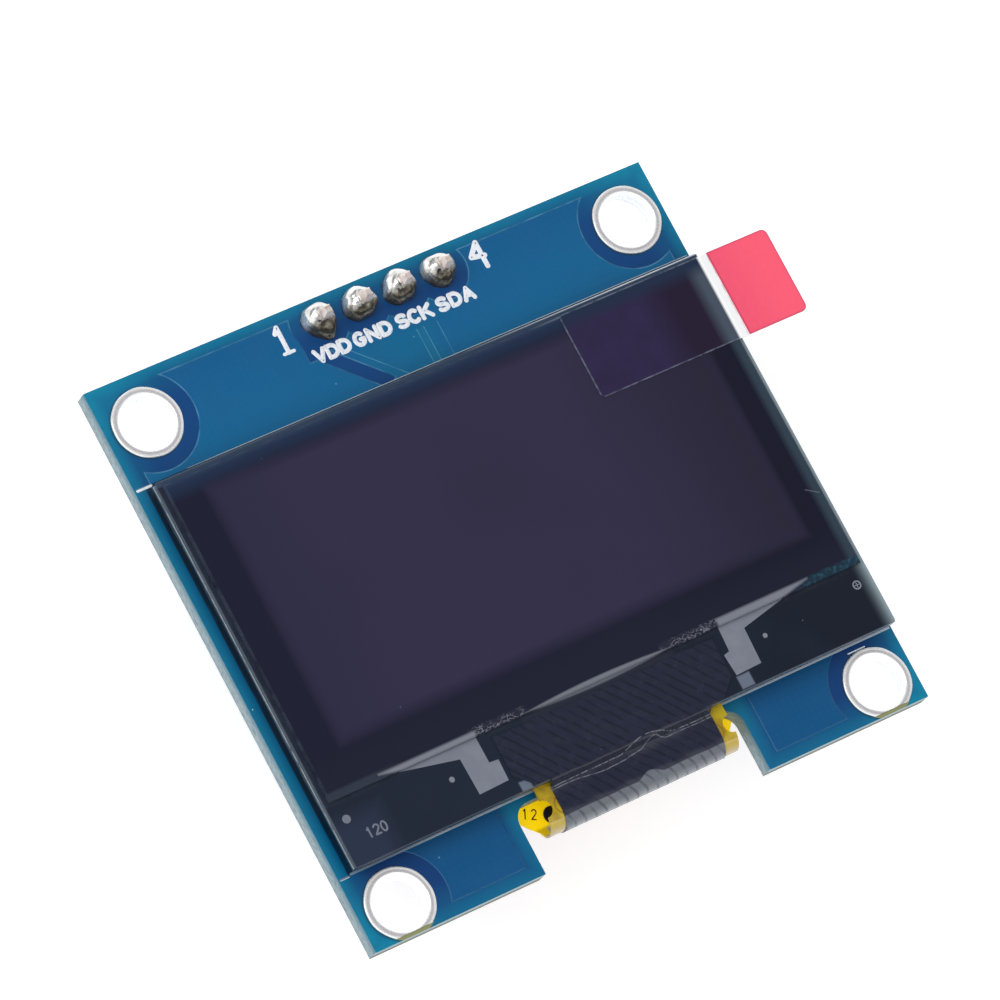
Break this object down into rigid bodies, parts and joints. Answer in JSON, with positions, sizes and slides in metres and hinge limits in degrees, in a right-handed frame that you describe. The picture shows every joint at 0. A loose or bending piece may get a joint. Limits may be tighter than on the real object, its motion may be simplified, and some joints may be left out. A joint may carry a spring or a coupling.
{
  "type": "small display module",
  "caption": "Small graphic display panel on a carrier board, with a folded flex cable, a pin header along the top edge and plated mounting holes at the corners.",
  "frame": {"origin": "middle of the four mounting holes, on the back face of the board where stand-offs seat", "axes": "+Z out of the display side, square to the board; +Y up the picture, towards the pin header; +X to the right as the display is read"},
  "size_m": [0.0393, 0.0335, 0.0116],
  "materials": {
    "board": "blue solder mask with white print, semi-gloss",
    "tin": "bright tin and solder, slightly uneven",
    "pin": "tin-plated square wire, satin",
    "housing": "moulded, satin",
    "glass": "clear, polished, cut edges",
    "panel_dark": "dark blue-black, glossy",
    "film": "clear film, glossy",
    "tab_clear": "clear film, glossy",
    "tab_red": "red tape, satin",
    "adhesive": "black foam tape, matt",
    "drying_sheet": "white, matt",
    "seal": "clear-set resin",
    "emitter": "vacuum-coated metal, dark",
    "die": "silicon, satin",
    "flex": "amber film over copper lines, satin",
    "tape": "dark tape with faint slanting lines, satin",
    "reg_black": "moulded, matt",
    "cap_tan": "fired, with tinned ends",
    "res_black": "glazed top, with tinned ends"
  },
  "bodies": {
    "root": {"pcb": "board", "header_housing": "housing", "panel_adhesive": "adhesive", "cap_glass": "glass", "desiccant_sheet": "drying_sheet", "edge_seal": "seal", "emitter_layer": "emitter", "front_glass": "glass", "polarizer": "panel_dark", "protective_film": "film", "pull_tab": "tab_clear", "pull_tab_grip": "tab_red", "driver_die": "die", "flex_cable": "flex", "flex_solder": "tin", "shield_tape": "tape", "regulator_body": "reg_black", "regulator_leads": "tin", "chip_solder": "tin", "mount_land_1": "tin", "mount_land_2": "tin", "mount_land_3": "tin", "mount_land_4": "tin", "header_pin_1": "pin", "header_pin_2": "pin", "header_pin_3": "pin", "header_pin_4": "pin", "solder_joint_1": "tin", "solder_joint_2": "tin", "solder_joint_3": "tin", "solder_joint_4": "tin", "capacitor_1": "cap_tan", "capacitor_2": "cap_tan", "capacitor_3": "cap_tan", "capacitor_4": "cap_tan", "capacitor_5": "cap_tan", "capacitor_6": "cap_tan", "capacitor_7": "cap_tan", "resistor_1": "res_black", "resistor_2": "res_black", "resistor_3": "res_black", "resistor_4": "res_black", "resistor_5": "res_black", "resistor_6": "res_black"}
  },
  "joints": []
}
